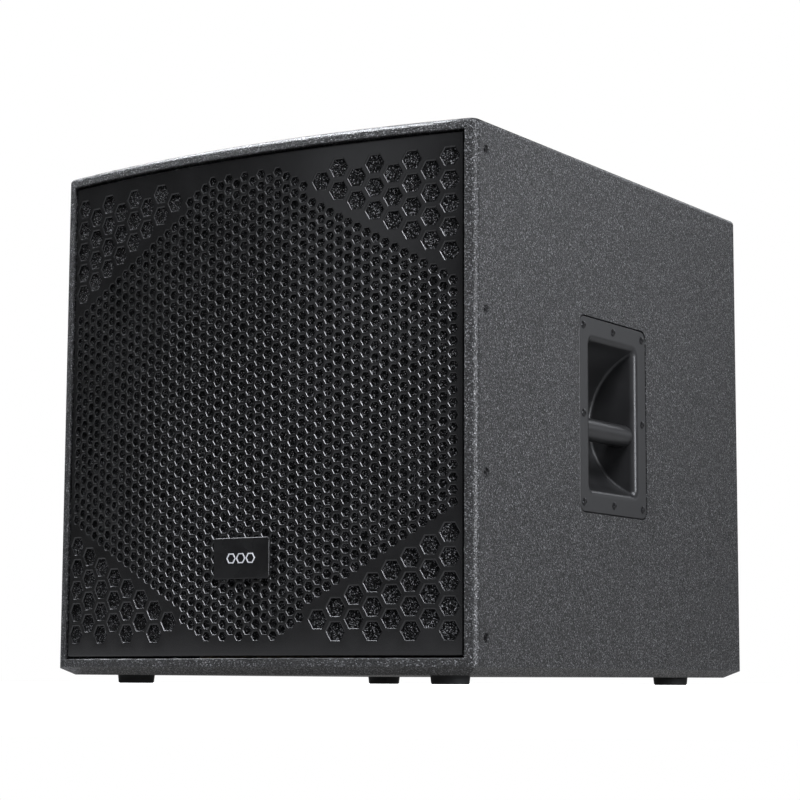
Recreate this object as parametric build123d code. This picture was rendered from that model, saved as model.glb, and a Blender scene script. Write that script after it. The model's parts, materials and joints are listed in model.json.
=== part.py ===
from build123d import *
import math
import os

# Passive 18 inch bass-reflex subwoofer cabinet, one STEP file for each kind of piece.
# Millimetres, +Z up, the grille faces -Y, origin on the floor under the middle of the cabinet.
# Cutters run 1 mm or more past the faces that they cut.

# Cabinet shell
WIDTH = 546.0
HEIGHT = 562.0            # without the feet
DEPTH = 616.0             # from the front vertical corners to the back
BOW = 29.0                # how far the middle of the front stands ahead of its corners
PLY = 18.0                # plywood thickness
FRONT_ROUND = 11.0
REAR_ROUND = 4.0
TOP_ROUND = 5.0
LIP_ROUND = 1.2           # front edges of the grille's rebate
BEVEL_IN = 16.0           # bottom bevel, measured along the underside
BEVEL_UP = 8.5            # bottom bevel, measured up the walls

# Feet
FOOT_HEIGHT = 9.0
FOOT_R_TOP = 20.5
FOOT_R_FLOOR = 19.5
FOOT_ROUND = 2.0
FOOT_WELL = (7.0, 5.0)    # radius and depth of the screw's recess
FOOT_WASHER = 1.2
FOOT_X = 207.0
FOOT_INSET = 58.0         # foot centre to the front or rear corners

# Grille
REBATE_X = 260.0          # half width of the opening in the front
REBATE_LOW = 17.0
REBATE_HIGH = 550.5
GRILLE_GAP = 2.0
GRILLE_INSET = 2.5        # how far the grille sits behind the lip
SHEET = 1.5
FLANGE_BACK = 33.0        # the side flanges end this far behind the front corners
FOAM = 6.0
HEX_LARGE = 20.4          # across flats
HEX_LARGE_PITCH = 24.4
HEX_LARGE_FIRST = 240.0   # highest large hole above the grille's centre
HEX_LARGE_ARC = 245.5     # outermost column, along the bow
HEX_LARGE_COLUMNS = (5, 4, 4, 3, 3, 2, 2, 1)
SCREW_BACK = 19.5         # grille screws behind the front corners
SCREW_STEP = 164.7
SCREW_SINK = 1.3          # counterbore above the countersunk heads
NUT_FLANGE = (5.0, 1.5)   # radius and thickness
NUT_BODY = (3.6, 8.0)     # radius and length

# Badge
BADGE = (72.0, 43.0, 4.0)
BADGE_X = 5.0
BADGE_Z = 120.5
BADGE_GAP = 0.3            # behind the plate, at the middle
EMBLEM = 0.6
EMBLEM_HEX = (6.0, 4.7)   # outer and inner radius of each hexagon
EMBLEM_STEP = 12.5

# Handles
HANDLE_BACK = 293.0       # centre behind the front corners
HANDLE_UP = 282.6         # centre above the underside
PAN_PLATE = (155.0, 213.0, 3.5)
PAN_CORNER = 10.0
PAN_SINK = 0.4            # the plate's face lies this far inside the side
PAN_WALL = 3.5
PAN_GAP = 1.2
POCKET_R = 88.0
POCKET_AXIS = 28.5        # the pocket's arc centre, outside the side
POCKET_LENGTH = 104.0
POCKET_FLARE = 8.0
POCKET_ROUND = 4.0        # between the pocket's back and its end walls
COLLAR = (122.0, 180.0, 10.0)
HANDLE_GASKET = 1.0
BAR_R = 12.5
BAR_IN = 17.0             # bar centre inside the side
BAR_DROP = 13.6           # bar centre below the plate's centre
BAR_BOLT = (3.0, 20.0)    # radius and length in the bar
HANDLE_SCREW_Y = 68.5
HANDLE_SCREW_Z = 96.4

# Baffle, ports and bracing
BAFFLE_BACK = 40.0
DRIVER_UP = 280.0
CUTOUT_R = 212.0
PORT_BOARD = 12.0
PORT_DIAGONAL = 245.0     # driver centre to the port board, along the diagonal
PORT_END = 380.0
BRACE_BACK = 384.0
WINDOW = (196.0, 200.0, 22.0)
WINDOW_X = 118.0
LINING = 24.0
LINING_GAP = 0.2          # between a lining and its panel

# Driver, lengths measured along its axis from the front of its flange
FLANGE_R = 230.0
DRIVER_GASKET = 2.0
FLANGE = 8.0
BOLT_CIRCLE_R = 220.0
BOLTS = 8
BOLT_FIRST = 22.5         # angle of the first bolt
TEE_NUT_R = 4.0
CONE_R = 176.0
CONE_RIM = 6.4
CONE_NECK_R = 51.0
CONE_NECK = 86.0
PAPER = 1.6
CAP_R = 72.0
CAP_FOOT = 67.9
CAP_RISE = 20.0
CAP = 1.0
COIL_R = 50.3
POLE_R = 49.6
GAP_R = 52.6
PLATE_R = 106.0
MAGNET_R = 112.0
FRONT_PLATE = (112.0, 124.0)
MAGNET = (124.0, 152.0)
BACK_PLATE_END = 162.0
MOTOR_BOLTS = 6
MOTOR_BOLT_R = 89.0

# Pole cup
POLE_BORE_R = 17.75
POLE_BORE_DEEP = 92.0
POLE_TUBE_R = 21.0
POLE_FLANGE_R = 50.0
POLE_FLANGE = 3.0
POLE_SINK = 0.2           # the flange lies this far below the top
POLE_SCREW_R = 40.0
POLE_BACK = 310.0

# Input dish
DISH_UP = 130.0
DISH_FLANGE = (170.0, 120.0, 3.0)
DISH_POCKET = (128.0, 78.0, 34.0)
DISH_WALL = 2.5
DISH_FLOOR = 3.0
DISH_SINK = 0.1
DISH_GASKET = 1.0
DISH_SCREW_X = 77.0
DISH_SCREW_Z = 52.0
SOCKET_X = 30.0
SOCKET_R = 12.0
SOCKET_BORE_R = 10.8
SOCKET_CORE_R = 5.2
SOCKET_LENGTH = 22.0
SOCKET_FLANGE = (26.0, 31.0, 2.0)
SOCKET_SCREW_X = 9.5
SOCKET_SCREW_Z = 12.0
CONTACT = (0.8, 9.0, 6.2)
CONTACT_REACH = 5.0       # contact centre to the socket's axis, across and up

# Low-pass filter
BOARD = (150.0, 100.0, 1.6)
BOARD_BACK = 100.0        # board centre ahead of the rear
BOARD_UP = 10.0           # standoff length
STANDOFF_X = 68.0
STANDOFF_Y = 43.0
STANDOFF_R = 3.5
COIL = (31.0, 14.0, 28.0)     # outer radius, inner radius, height
COIL_X = -32.0
CAPACITOR = (12.0, 46.0)      # radius and length
CAPACITOR_X = (20.0, 48.0)
CABLE_R = 2.6
TINSEL_R = 1.1

# Screws: head radius, head height, shank radius, shank length
GRILLE_SCREW = (5.0, 2.7, 2.0, 20.0)
HANDLE_SCREW = (4.2, 2.2, 2.0, 14.0)
FOOT_SCREW = (4.6, 2.4, 2.5, 18.0)
POLE_SCREW = (4.0, 2.1, 2.0, 15.0)
DISH_SCREW = (3.8, 1.9, 1.7, 14.0)
SOCKET_SCREW = (2.3, 1.4, 1.2, 8.0)
BOARD_SCREW = (2.9, 1.8, 1.5, 20.0)
MOTOR_BOLT = (4.5, 4.5, 3.0, 16.0)
DRIVER_BOLT = (5.0, 6.0, 3.0, 34.0)
THREAD_GAP = 0.05         # round a shank that bites
SHANK_GAP = 0.3           # round a shank that passes through

# Datums
BADGE_PROUD = BADGE[2] + EMBLEM + BADGE_GAP - GRILLE_INSET
REAR_PROUD = DISH_SCREW[1] - DISH_SINK
Y_FRONT = -(DEPTH + BOW + REAR_PROUD - BADGE_PROUD) / 2
Y_CORNER = Y_FRONT + BOW
Y_REAR = Y_CORNER + DEPTH
Z_BASE = FOOT_HEIGHT
Z_TOP = Z_BASE + HEIGHT
HALF = WIDTH / 2
INNER = HALF - PLY
BOW_R = (HALF**2 + BOW**2) / (2 * BOW)
ARC_Y = Y_FRONT + BOW_R
Z_GRILLE = Z_BASE + (REBATE_LOW + REBATE_HIGH) / 2
Y_BAFFLE = Y_CORNER + BAFFLE_BACK
Y_FLANGE = Y_BAFFLE - DRIVER_GASKET - FLANGE
Z_DRIVER = Z_BASE + DRIVER_UP
Y_HANDLE = Y_CORNER + HANDLE_BACK
Z_HANDLE = Z_BASE + HANDLE_UP
Z_DISH = Z_BASE + DISH_UP
X_PLATE = HALF - PAN_SINK
X_BAR = HALF - BAR_IN
Z_BAR = Z_HANDLE - BAR_DROP
Y_POLE = Y_CORNER + POLE_BACK
Y_BOARD = Y_REAR - BOARD_BACK
Z_BOARD = Z_BASE + PLY + BOARD_UP


# Simple solids between stated limits

def block(x, y, z):
    size = (x[1] - x[0], y[1] - y[0], z[1] - z[0])
    return Pos((x[0] + x[1]) / 2, (y[0] + y[1]) / 2, (z[0] + z[1]) / 2) * Box(*size)


def rod_x(radius, x, y, z):
    return Pos((x[0] + x[1]) / 2, y, z) * Rot(0, 90, 0) * Cylinder(radius, x[1] - x[0])


def rod_y(radius, x, y, z):
    return Pos(x, (y[0] + y[1]) / 2, z) * Rot(90, 0, 0) * Cylinder(radius, y[1] - y[0])


def rod_z(radius, x, y, z):
    return Pos(x, y, (z[0] + z[1]) / 2) * Cylinder(radius, z[1] - z[0])


def slab_x(size, radius, x, y, z):
    sketch = Plane.YZ * RectangleRounded(size[0], size[1], radius)
    return Pos(x[0], y, z) * extrude(sketch, amount=x[1] - x[0])


def slab_y(size, radius, x, y, z):
    sketch = Plane.XZ * RectangleRounded(size[0], size[1], radius)
    return Pos(x, y[1], z) * extrude(sketch, amount=y[1] - y[0])


def countersink(shank_r, head_r, depth):
    """A cone on the Z axis that opens upward to zero."""
    return Cone(shank_r, head_r, depth, align=(Align.CENTER, Align.CENTER, Align.MAX))


def bowed_slab(inset, half_width, z):
    """A sheet that follows the bow, between two insets behind the front."""
    height = z[1] - z[0]
    ring = Cylinder(BOW_R - inset[0], height) - Cylinder(BOW_R - inset[1], height)
    window = block((-half_width, half_width), (Y_FRONT - 1, Y_CORNER + 60), z)
    return Pos(0, ARC_Y, (z[0] + z[1]) / 2) * ring & window


def turned(points):
    """A solid of revolution on the driver's axis, from (radius, distance behind the flange)."""
    profile = make_face(Polyline(*points, close=True))
    return Pos(0, Y_FLANGE, Z_DRIVER) * revolve(profile, axis=Axis.Y)


def around_driver(piece, count, radius, first=0.0):
    """Copies of a piece that lies on the Y axis, on a circle round the driver's axis."""
    copies = []
    for number in range(count):
        angle = math.radians(first + 360.0 * number / count)
        x = radius * math.cos(angle)
        z = Z_DRIVER + radius * math.sin(angle)
        copies.append(Pos(x, Y_FLANGE, z) * piece)
    return copies


def bolt_holes(radius):
    """Cutters for the driver's bolts, through its flange and what lies behind it."""
    return around_driver(rod_y(radius, 0, (-1, 60), 0), BOLTS, BOLT_CIRCLE_R, BOLT_FIRST)


def group(pieces):
    """Several separate solids as one shape."""
    solids = []
    for piece in pieces:
        solids.extend(piece.solids())
    return Compound(children=solids)


def domed_screw(head_r, head, shank_r, shank):
    """A cross-slot screw on the Z axis, its head above zero and its shank below."""
    rim = head * 0.3
    outline = [Line((0, -shank), (shank_r, -shank)), Line((shank_r, -shank), (shank_r, 0))]
    outline += [Line((shank_r, 0), (head_r, 0)), Line((head_r, 0), (head_r, rim))]
    outline.append(ThreePointArc((head_r, rim), (head_r * 0.6, head * 0.8), (0, head)))
    outline.append(Line((0, head), (0, -shank)))
    profile = Plane.XZ * make_face(Curve() + outline)
    slot = Pos(0, 0, head) * Box(head_r, head_r * 0.22, head)
    return revolve(profile, axis=Axis.Z) - slot - Rot(0, 0, 90) * slot


def flat_screw(head_r, head, shank_r, shank):
    """A hexagon-socket countersunk screw on the Z axis, its flat face at zero."""
    points = [(0, 0), (head_r, 0), (shank_r, -head), (shank_r, -shank), (0, -shank)]
    profile = Plane.XZ * make_face(Polyline(*points, close=True))
    socket = Pos(0, 0, -head * 0.6) * extrude(RegularPolygon(head_r * 0.45, 6), amount=head)
    return revolve(profile, axis=Axis.Z) - socket


def cap_screw(head_r, head, shank_r, shank):
    """A hexagon-socket cap screw on the Z axis, its head above zero."""
    body = rod_z(head_r, 0, 0, (0, head)) + rod_z(shank_r, 0, 0, (-shank, 0))
    return body - Pos(0, 0, head * 0.4) * extrude(RegularPolygon(head_r * 0.55, 6), amount=head)


# Cabinet shell

def envelope():
    """The outside of the cabinet, with the grille's rebate, as one block that the panels are cut from."""
    corner = (HALF, Y_CORNER)
    outline = [ThreePointArc((-HALF, Y_CORNER), (0, Y_FRONT), corner)]
    outline.append(Line(corner, (HALF, Y_REAR)))
    outline.append(Line((HALF, Y_REAR), (-HALF, Y_REAR)))
    outline.append(Line((-HALF, Y_REAR), (-HALF, Y_CORNER)))
    body = Pos(0, 0, Z_BASE) * extrude(make_face(Curve() + outline), amount=HEIGHT)
    under = body.faces().sort_by(Axis.Z)[0]
    body = chamfer(under.edges(), BEVEL_IN, BEVEL_UP, reference=under)
    upright = body.edges().filter_by(Axis.Z).sort_by(Axis.Y)
    body = fillet(upright[2:], REAR_ROUND)
    upright = body.edges().filter_by(Axis.Z).sort_by(Axis.Y)
    body = fillet(upright[:2], FRONT_ROUND)
    body = fillet(body.faces().sort_by(Axis.Z)[-1].edges(), TOP_ROUND) - grille_space()
    front = [face for face in body.faces() if face.inner_wires()][0]
    return fillet(front.inner_wires()[0].edges(), LIP_ROUND)


def grille_space():
    """The rebate that the grille drops into."""
    x = (-REBATE_X, REBATE_X)
    z = (Z_BASE + REBATE_LOW, Z_BASE + REBATE_HIGH)
    return block(x, (Y_FRONT - 1, Y_BAFFLE), z)


def grille_screw_places():
    return [(Y_CORNER + SCREW_BACK, Z_GRILLE + SCREW_STEP * (n - 1.5)) for n in range(4)]


def handle_screw_places():
    places = []
    for column in (-1, 0, 1):
        for row in (-1, 0, 1):
            if column or row:
                places.append((Y_HANDLE + column * HANDLE_SCREW_Y, Z_HANDLE + row * HANDLE_SCREW_Z))
    return places


def right_side_panel(shell):
    panel = shell & block((INNER, HALF + 1), (Y_FRONT - 1, Y_REAR + 1), (Z_BASE - 1, Z_TOP + 1))
    for y, z in grille_screw_places():
        hole_r = GRILLE_SCREW[2] + SHANK_GAP
        head_r = GRILLE_SCREW[0] + SHANK_GAP
        sink = countersink(hole_r, head_r, GRILLE_SCREW[1] + SHANK_GAP)
        panel -= rod_x(head_r, (HALF - SCREW_SINK, HALF + 1), y, z)
        panel -= Pos(HALF - SCREW_SINK, y, z) * Rot(0, 90, 0) * sink
        panel -= rod_x(hole_r, (REBATE_X - 1, HALF), y, z)
    rebate = PAN_SINK + PAN_PLATE[2] + HANDLE_GASKET
    size = (PAN_PLATE[0] + 2 * PAN_GAP, PAN_PLATE[1] + 2 * PAN_GAP)
    panel -= slab_x(size, PAN_CORNER + PAN_GAP, (HALF - rebate, HALF + 1), Y_HANDLE, Z_HANDLE)
    hole = (COLLAR[0] + 3, COLLAR[1] + 3)
    panel -= slab_x(hole, 8, (INNER - 1, HALF), Y_HANDLE, Z_HANDLE)
    for y, z in handle_screw_places():
        panel -= rod_x(HANDLE_SCREW[2] + THREAD_GAP, (INNER + 1, HALF), y, z)
    return panel


def top_panel(shell):
    panel = shell & block((-INNER, INNER), (Y_FRONT - 1, Y_REAR + 1), (Z_TOP - PLY, Z_TOP + 1))
    panel -= rod_z(POLE_FLANGE_R + 0.5, 0, Y_POLE, (Z_TOP - POLE_FLANGE, Z_TOP + 1))
    panel -= rod_z(POLE_TUBE_R + 0.5, 0, Y_POLE, (Z_TOP - PLY - 1, Z_TOP))
    for x, y in pole_screw_places():
        panel -= rod_z(POLE_SCREW[2] + THREAD_GAP, x, y, (Z_TOP - PLY + 2, Z_TOP))
    return panel


def bottom_panel(shell):
    panel = shell & block((-INNER, INNER), (Y_FRONT - 1, Y_REAR + 1), (Z_BASE - 1, Z_BASE + PLY))
    for x, y in foot_places():
        panel -= rod_z(FOOT_SCREW[2] + THREAD_GAP, x, y, (Z_BASE - 1, Z_BASE + PLY - 3))
    for x, y in standoff_places():
        panel -= rod_z(BOARD_SCREW[2] + THREAD_GAP, x, y, (Z_BASE + 6, Z_BASE + PLY + 1))
    return panel


def rear_panel(shell):
    panel = shell & block((-INNER, INNER), (Y_REAR - PLY, Y_REAR + 1), (Z_BASE + PLY, Z_TOP - PLY))
    rebate = DISH_SINK + DISH_FLANGE[2] + DISH_GASKET
    size = (DISH_FLANGE[0] + 1, DISH_FLANGE[1] + 1)
    panel -= slab_y(size, 8.5, 0, (Y_REAR - rebate, Y_REAR + 1), Z_DISH)
    panel -= slab_y((DISH_POCKET[0] + 9, DISH_POCKET[1] + 9), 9, 0, (Y_REAR - PLY - 1, Y_REAR), Z_DISH)
    for x, z in dish_screw_places():
        panel -= rod_y(DISH_SCREW[2] + THREAD_GAP, x, (Y_REAR - PLY + 2, Y_REAR), z)
    return panel


def corner_ways():
    """The four directions from the driver to the cabinet's corners, as signs."""
    return [(x, z) for x in (-1, 1) for z in (-1, 1)]


def diagonal_block(way, near, far, y):
    """A block square to one diagonal, between two distances from the driver's axis."""
    middle = (near + far) / 2 * math.sqrt(0.5)
    tilt = 45.0 if way[0] * way[1] < 0 else -45.0
    place = Pos(way[0] * middle, (y[0] + y[1]) / 2, Z_DRIVER + way[1] * middle)
    return place * Rot(0, tilt, 0) * Box(far - near, y[1] - y[0], 600)


def front_baffle():
    y = (Y_BAFFLE, Y_BAFFLE + PLY)
    room = block((-INNER, INNER), y, (Z_BASE + PLY, Z_TOP - PLY))
    baffle = room - rod_y(CUTOUT_R, 0, (y[0] - 1, y[1] + 1), Z_DRIVER)
    for way in corner_ways():
        baffle -= diagonal_block(way, PORT_DIAGONAL + PORT_BOARD, 400, (y[0] - 1, y[1] + 1))
    for hole in bolt_holes(TEE_NUT_R + THREAD_GAP):
        baffle -= hole
    return baffle


def port_boards():
    y = (Y_BAFFLE + PLY, Y_CORNER + PORT_END)
    room = block((-INNER, INNER), y, (Z_BASE + PLY, Z_TOP - PLY))
    far = PORT_DIAGONAL + PORT_BOARD
    return group([diagonal_block(way, PORT_DIAGONAL, far, y) & room for way in corner_ways()])


def window_brace():
    y = (Y_CORNER + BRACE_BACK, Y_CORNER + BRACE_BACK + PLY)
    brace = block((-INNER, INNER), y, (Z_BASE + PLY, Z_TOP - PLY))
    for way in corner_ways():
        centre = (way[0] * WINDOW_X, Z_DRIVER + way[1] * WINDOW_X)
        brace -= slab_y(WINDOW[:2], WINDOW[2], centre[0], (y[0] - 1, y[1] + 1), centre[1])
    return brace


def rear_damping_lining():
    y = (Y_REAR - PLY - LINING, Y_REAR - PLY - LINING_GAP)
    lining = block((-225, 225), y, (Z_BASE + 70, Z_TOP - 40))
    return lining - block((-95, 95), (y[0] - 1, y[1] + 1), (Z_BASE, Z_DISH + 75))


def side_damping_linings():
    y = (Y_CORNER + BRACE_BACK + PLY + 2, Y_REAR - PLY - LINING - 3)
    lining = block((INNER - LINING, INNER - LINING_GAP), y, (Z_BASE + 40, Z_TOP - 40))
    return group([lining, mirror(lining, about=Plane.YZ)])


# Grille

def large_holes():
    """Prisms for the large hexagonal holes in the four corners."""
    hexagon = RegularPolygon(HEX_LARGE / 2, 6, major_radius=False, rotation=30)
    prism = extrude(Plane.XZ * hexagon, amount=8, both=True)
    column_step = HEX_LARGE_PITCH * math.sqrt(0.75)
    holes = []
    for way in corner_ways():
        for column, count in enumerate(HEX_LARGE_COLUMNS):
            turn = math.degrees((HEX_LARGE_ARC - column_step * column) / BOW_R) * way[0]
            first = HEX_LARGE_FIRST - HEX_LARGE_PITCH / 2 * (column % 2)
            for row in range(count):
                z = Z_GRILLE + way[1] * (first - HEX_LARGE_PITCH * row)
                holes.append(Pos(0, ARC_Y, z) * Rot(0, 0, turn) * Pos(0, -BOW_R, 0) * prism)
    return holes


def grille():
    low = Z_BASE + REBATE_LOW + GRILLE_GAP
    high = Z_BASE + REBATE_HIGH - GRILLE_GAP
    edge = REBATE_X - GRILLE_GAP
    back = GRILLE_INSET + SHEET
    sheet = bowed_slab((GRILLE_INSET, back), edge, (low, high))
    sheet -= large_holes()
    for z in ((low, low + SHEET), (high - SHEET, high)):
        sheet += bowed_slab((back, back + 10), edge - 6, z)
    inside = Pos(0, ARC_Y, Z_GRILLE) * Cylinder(BOW_R - back, HEIGHT)
    y = (Y_FRONT, Y_CORNER + FLANGE_BACK)
    side = block((edge - SHEET, edge), y, (low + 4, high - 4)) & inside
    for y, z in grille_screw_places():
        side -= rod_x(GRILLE_SCREW[2] + SHANK_GAP, (edge - 5, edge + 1), y, z)
    return sheet + side + mirror(side, about=Plane.YZ)


def grille_foam():
    front = GRILLE_INSET + SHEET + 0.4
    z = (Z_BASE + REBATE_LOW + GRILLE_GAP + SHEET + 1, Z_BASE + REBATE_HIGH - GRILLE_GAP - SHEET - 1)
    return bowed_slab((front, front + FOAM), REBATE_X - GRILLE_GAP - SHEET - 2, z)


def grille_screws():
    screw = flat_screw(*GRILLE_SCREW)
    face = HALF - SCREW_SINK - 0.2
    places = [Pos(face, y, z) * Rot(0, 90, 0) * screw for y, z in grille_screw_places()]
    return group(places + [mirror(p, about=Plane.YZ) for p in places])


def grille_nuts():
    inner = REBATE_X - GRILLE_GAP - SHEET
    nuts = []
    for y, z in grille_screw_places():
        nut = rod_x(NUT_FLANGE[0], (inner - NUT_FLANGE[1], inner), y, z)
        nut += rod_x(NUT_BODY[0], (inner - NUT_BODY[1], inner), y, z)
        nut -= rod_x(GRILLE_SCREW[2] + THREAD_GAP, (inner - NUT_BODY[1] - 1, inner + 1), y, z)
        nuts += [nut, mirror(nut, about=Plane.YZ)]
    return group(nuts)


def badge_frame():
    """The place on the bow where the badge lies, with Z out of the grille."""
    turn = math.degrees(BADGE_X / BOW_R)
    out = Pos(0, -BOW_R + GRILLE_INSET - BADGE_GAP, 0) * Rot(90, 0, 0)
    return Pos(0, ARC_Y, Z_BASE + BADGE_Z) * Rot(0, 0, turn) * out


def badge_plate():
    plate = extrude(RectangleRounded(BADGE[0], BADGE[1], 3), amount=BADGE[2])
    plate = fillet(plate.faces().sort_by(Axis.Z)[-1].edges(), 1.0)
    return badge_frame() * plate


def badge_emblem():
    ring = extrude(RegularPolygon(EMBLEM_HEX[0], 6) - RegularPolygon(EMBLEM_HEX[1], 6), amount=EMBLEM)
    face = badge_frame() * Pos(0, 0, BADGE[2])
    return group([face * Pos(EMBLEM_STEP * n, 0, 0) * ring for n in (-1, 0, 1)])


# Handles

def right_handle_pan():
    plate = slab_x(PAN_PLATE[:2], PAN_CORNER, (X_PLATE - PAN_PLATE[2], X_PLATE), Y_HANDLE, Z_HANDLE)
    plate = fillet(plate.faces().sort_by(Axis.X)[-1].edges(), 1.0)
    back = X_PLATE - PAN_PLATE[2]
    collar = slab_x(COLLAR[:2], 7, (X_PLATE - COLLAR[2], back), Y_HANDLE, Z_HANDLE)
    reach = POCKET_LENGTH / 2
    x_arc = HALF + POCKET_AXIS
    y = (Y_HANDLE - reach - PAN_WALL, Y_HANDLE + reach + PAN_WALL)
    dish = rod_y(POCKET_R + PAN_WALL, x_arc, y, Z_HANDLE)
    dish &= block((0, back), y, (Z_BASE, Z_TOP))
    pan = plate + collar + dish
    hollow = rod_y(POCKET_R, x_arc, (Y_HANDLE - reach, Y_HANDLE + reach), Z_HANDLE)
    pan -= fillet(hollow.edges().filter_by(GeomType.CIRCLE), POCKET_ROUND)
    mouth = pan.faces().sort_by(Axis.X)[-1].inner_wires()[0].edges()
    pan = fillet(mouth, POCKET_FLARE)
    pan -= rod_y(BAR_BOLT[0] + SHANK_GAP, X_BAR, (y[0] - 1, y[1] + 1), Z_BAR)
    for hole_y, hole_z in handle_screw_places():
        pan -= rod_x(HANDLE_SCREW[2] + SHANK_GAP, (back - 1, X_PLATE + 1), hole_y, hole_z)
    return pan


def right_handle_bar():
    reach = POCKET_LENGTH / 2
    bar = rod_y(BAR_R, X_BAR, (Y_HANDLE - reach, Y_HANDLE + reach), Z_BAR)
    for end in (Y_HANDLE - reach, Y_HANDLE + reach):
        bar -= rod_y(BAR_BOLT[0] + THREAD_GAP, X_BAR, (end - BAR_BOLT[1], end + BAR_BOLT[1]), Z_BAR)
    return bar


def right_handle_gasket():
    x = (X_PLATE - PAN_PLATE[2] - HANDLE_GASKET, X_PLATE - PAN_PLATE[2])
    gasket = slab_x((PAN_PLATE[0] - 2, PAN_PLATE[1] - 2), 9, x, Y_HANDLE, Z_HANDLE)
    gasket -= slab_x((COLLAR[0] + 3, COLLAR[1] + 3), 8, (x[0] - 1, x[1] + 1), Y_HANDLE, Z_HANDLE)
    for y, z in handle_screw_places():
        gasket -= rod_x(HANDLE_SCREW[2] + SHANK_GAP, (x[0] - 1, x[1] + 1), y, z)
    return gasket


def right_handle_screws():
    screw = domed_screw(*HANDLE_SCREW)
    return [Pos(X_PLATE, y, z) * Rot(0, 90, 0) * screw for y, z in handle_screw_places()]


def right_handle_bar_bolts():
    wall = POCKET_LENGTH / 2 + PAN_WALL
    bolt = rod_z(BAR_BOLT[0], 0, 0, (-BAR_BOLT[1], 0)) + rod_z(6.4, 0, 0, (0, 1))
    bolt += Pos(0, 0, 1) * extrude(RegularPolygon(5.5, 6), amount=3.2)
    rear = Pos(X_BAR, Y_HANDLE + wall, Z_BAR) * Rot(-90, 0, 0) * bolt
    front = Pos(X_BAR, Y_HANDLE - wall, Z_BAR) * Rot(90, 0, 0) * bolt
    return [rear, front]


def both_sides(pieces):
    return group(pieces + [mirror(p, about=Plane.YZ) for p in pieces])


# Feet

def foot_places():
    """Front left, front right, rear left, rear right."""
    rows = (Y_CORNER + FOOT_INSET, Y_REAR - FOOT_INSET)
    return [(x, y) for y in rows for x in (-FOOT_X, FOOT_X)]


def foot(place):
    body = Pos(0, 0, FOOT_HEIGHT) * countersink(FOOT_R_FLOOR, FOOT_R_TOP, FOOT_HEIGHT)
    body = fillet(body.edges().sort_by(Axis.Z)[0], FOOT_ROUND)
    body -= rod_z(FOOT_WELL[0], 0, 0, (-1, FOOT_WELL[1]))
    body -= rod_z(FOOT_SCREW[2] + SHANK_GAP, 0, 0, (0, FOOT_HEIGHT + 1))
    return Pos(place[0], place[1], 0) * body


def foot_washers():
    washer = rod_z(FOOT_WELL[0] - 0.5, 0, 0, (FOOT_WELL[1] - FOOT_WASHER, FOOT_WELL[1]))
    washer -= rod_z(FOOT_SCREW[2] + THREAD_GAP, 0, 0, (0, FOOT_HEIGHT))
    return group([Pos(x, y, 0) * washer for x, y in foot_places()])


def foot_screws():
    screw = Pos(0, 0, FOOT_WELL[1] - FOOT_WASHER) * Rot(180, 0, 0) * domed_screw(*FOOT_SCREW)
    return group([Pos(x, y, 0) * screw for x, y in foot_places()])


# Pole cup

def pole_screw_places():
    reach = POLE_SCREW_R * math.sqrt(0.5)
    return [(x * reach, Y_POLE + y * reach) for x in (-1, 1) for y in (-1, 1)]


def pole_cup():
    cup = rod_z(POLE_FLANGE_R, 0, Y_POLE, (Z_TOP - POLE_FLANGE, Z_TOP - POLE_SINK))
    cup += rod_z(POLE_TUBE_R, 0, Y_POLE, (Z_TOP - POLE_BORE_DEEP - 3, Z_TOP - POLE_FLANGE))
    cup -= rod_z(POLE_BORE_R, 0, Y_POLE, (Z_TOP - POLE_BORE_DEEP, Z_TOP + 1))
    for x, y in pole_screw_places():
        hole_r = POLE_SCREW[2] + SHANK_GAP
        cup -= Pos(x, y, Z_TOP - POLE_SINK) * countersink(hole_r, POLE_SCREW[0] + SHANK_GAP, POLE_SCREW[1])
        cup -= rod_z(hole_r, x, y, (Z_TOP - POLE_FLANGE - 1, Z_TOP))
    return cup


def pole_cup_screws():
    screw = flat_screw(*POLE_SCREW)
    return group([Pos(x, y, Z_TOP - POLE_SINK - 0.2) * screw for x, y in pole_screw_places()])


# Input dish

def dish_screw_places():
    return [(x * DISH_SCREW_X, Z_DISH + z * DISH_SCREW_Z) for x in (-1, 0, 1) for z in (-1, 1)]


def socket_places():
    return [-SOCKET_X, SOCKET_X]


def socket_screw_places():
    places = []
    for x in socket_places():
        places += [(x + turn * SOCKET_SCREW_X, Z_DISH + turn * SOCKET_SCREW_Z) for turn in (-1, 1)]
    return places


def input_dish():
    face = Y_REAR - DISH_SINK
    floor = Y_REAR - DISH_POCKET[2]
    dish = slab_y(DISH_FLANGE[:2], 8, 0, (face - DISH_FLANGE[2], face), Z_DISH)
    outer = (DISH_POCKET[0] + 2 * DISH_WALL, DISH_POCKET[1] + 2 * DISH_WALL)
    dish += slab_y(outer, 8.5, 0, (floor - DISH_FLOOR, face), Z_DISH)
    dish -= slab_y(DISH_POCKET[:2], 6, 0, (floor, face + 1), Z_DISH)
    rim = dish.faces().sort_by(Axis.Y)[-1].inner_wires()[0].edges()
    dish = fillet(rim, 2.0)
    for x in socket_places():
        dish -= rod_y(SOCKET_R + 0.3, x, (floor - 9, floor + 1), Z_DISH)
    for x, z in socket_screw_places():
        dish -= rod_y(SOCKET_SCREW[2] + THREAD_GAP, x, (floor - 9, floor + 1), z)
    for x, z in dish_screw_places():
        dish -= rod_y(DISH_SCREW[2] + SHANK_GAP, x, (face - 9, face + 1), z)
    return dish


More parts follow.
